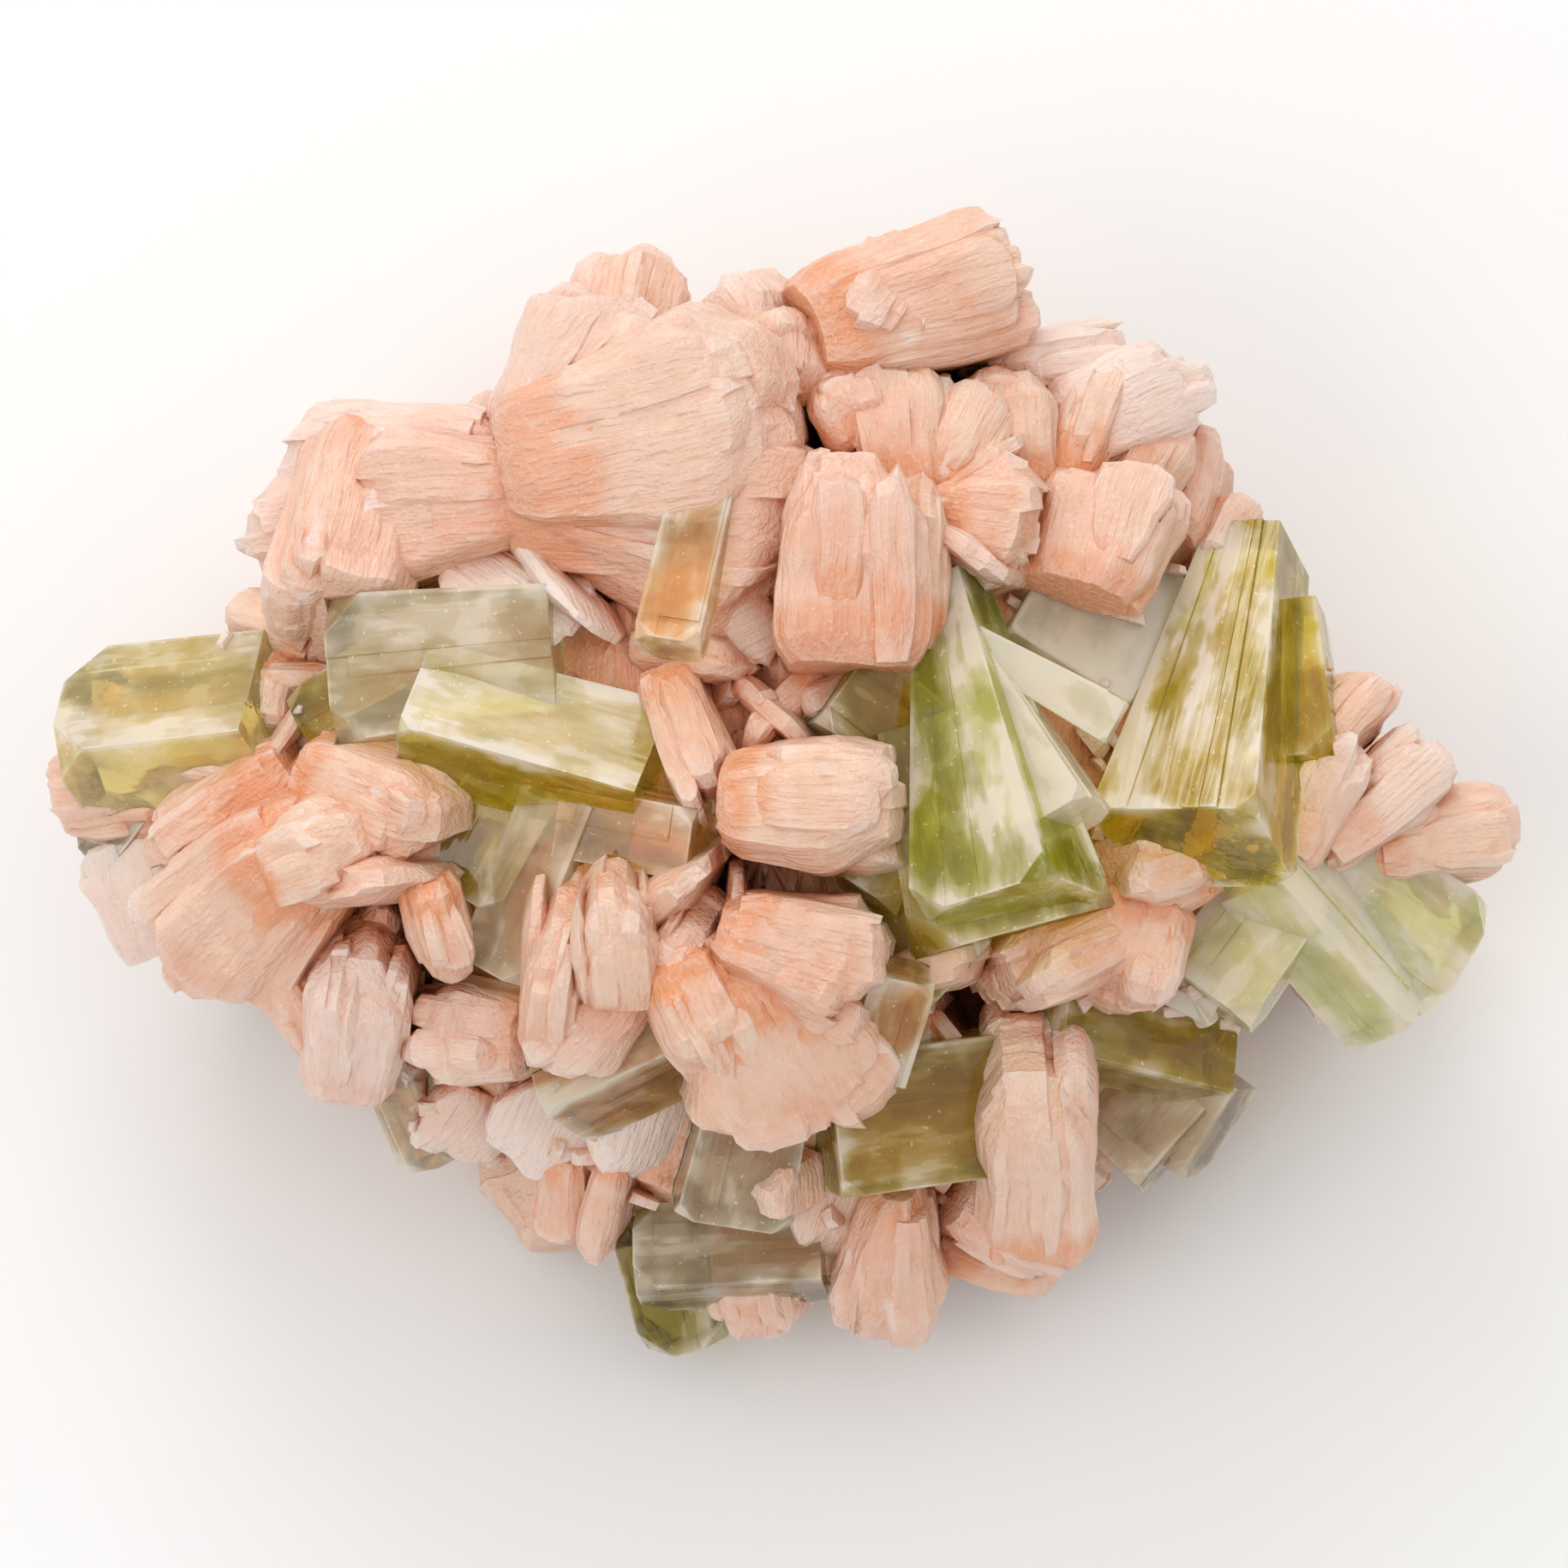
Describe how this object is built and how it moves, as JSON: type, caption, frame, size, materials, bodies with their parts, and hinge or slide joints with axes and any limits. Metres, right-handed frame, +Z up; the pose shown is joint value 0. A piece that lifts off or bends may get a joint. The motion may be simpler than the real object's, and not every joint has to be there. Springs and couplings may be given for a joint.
{
  "type": "apophyllite on stilbite crystal group",
  "caption": "Hand-sized mineral specimen: clear yellow-green apophyllite prisms grown on a domed mass of peach stilbite sheaves, sawn flat at the back to rest.",
  "frame": {"origin": "centre of the bounding box on the flat sawn base", "axes": "+X along the specimen's long side, +Y towards the crest behind the face, +Z up from the sawn base; the crystal face leans 15 degrees towards -Y"},
  "size_m": [0.1393, 0.1024, 0.064],
  "materials": {
    "stilbite": "satin to pearly peach crystal, translucent at thin edges, fine lines along the sheaves",
    "apophyllite": "glassy yellow-green natural crystal with milky veils and lined prism faces"
  },
  "bodies": {
    "root": {"stilbite": "stilbite", "apophyllite_left_prism": "apophyllite", "apophyllite_left_cluster": "apophyllite", "apophyllite_fan_prism": "apophyllite", "apophyllite_green_cluster": "apophyllite", "apophyllite_back_block": "apophyllite", "apophyllite_great_prism": "apophyllite", "apophyllite_crossed_prisms": "apophyllite", "apophyllite_low_right_prism": "apophyllite", "apophyllite_yellow_block": "apophyllite", "apophyllite_small_box": "apophyllite", "apophyllite_amber_block": "apophyllite", "apophyllite_white_block": "apophyllite", "apophyllite_foot_pair": "apophyllite", "apophyllite_rim_pair": "apophyllite", "apophyllite_lower_left": "apophyllite"}
  },
  "joints": []
}
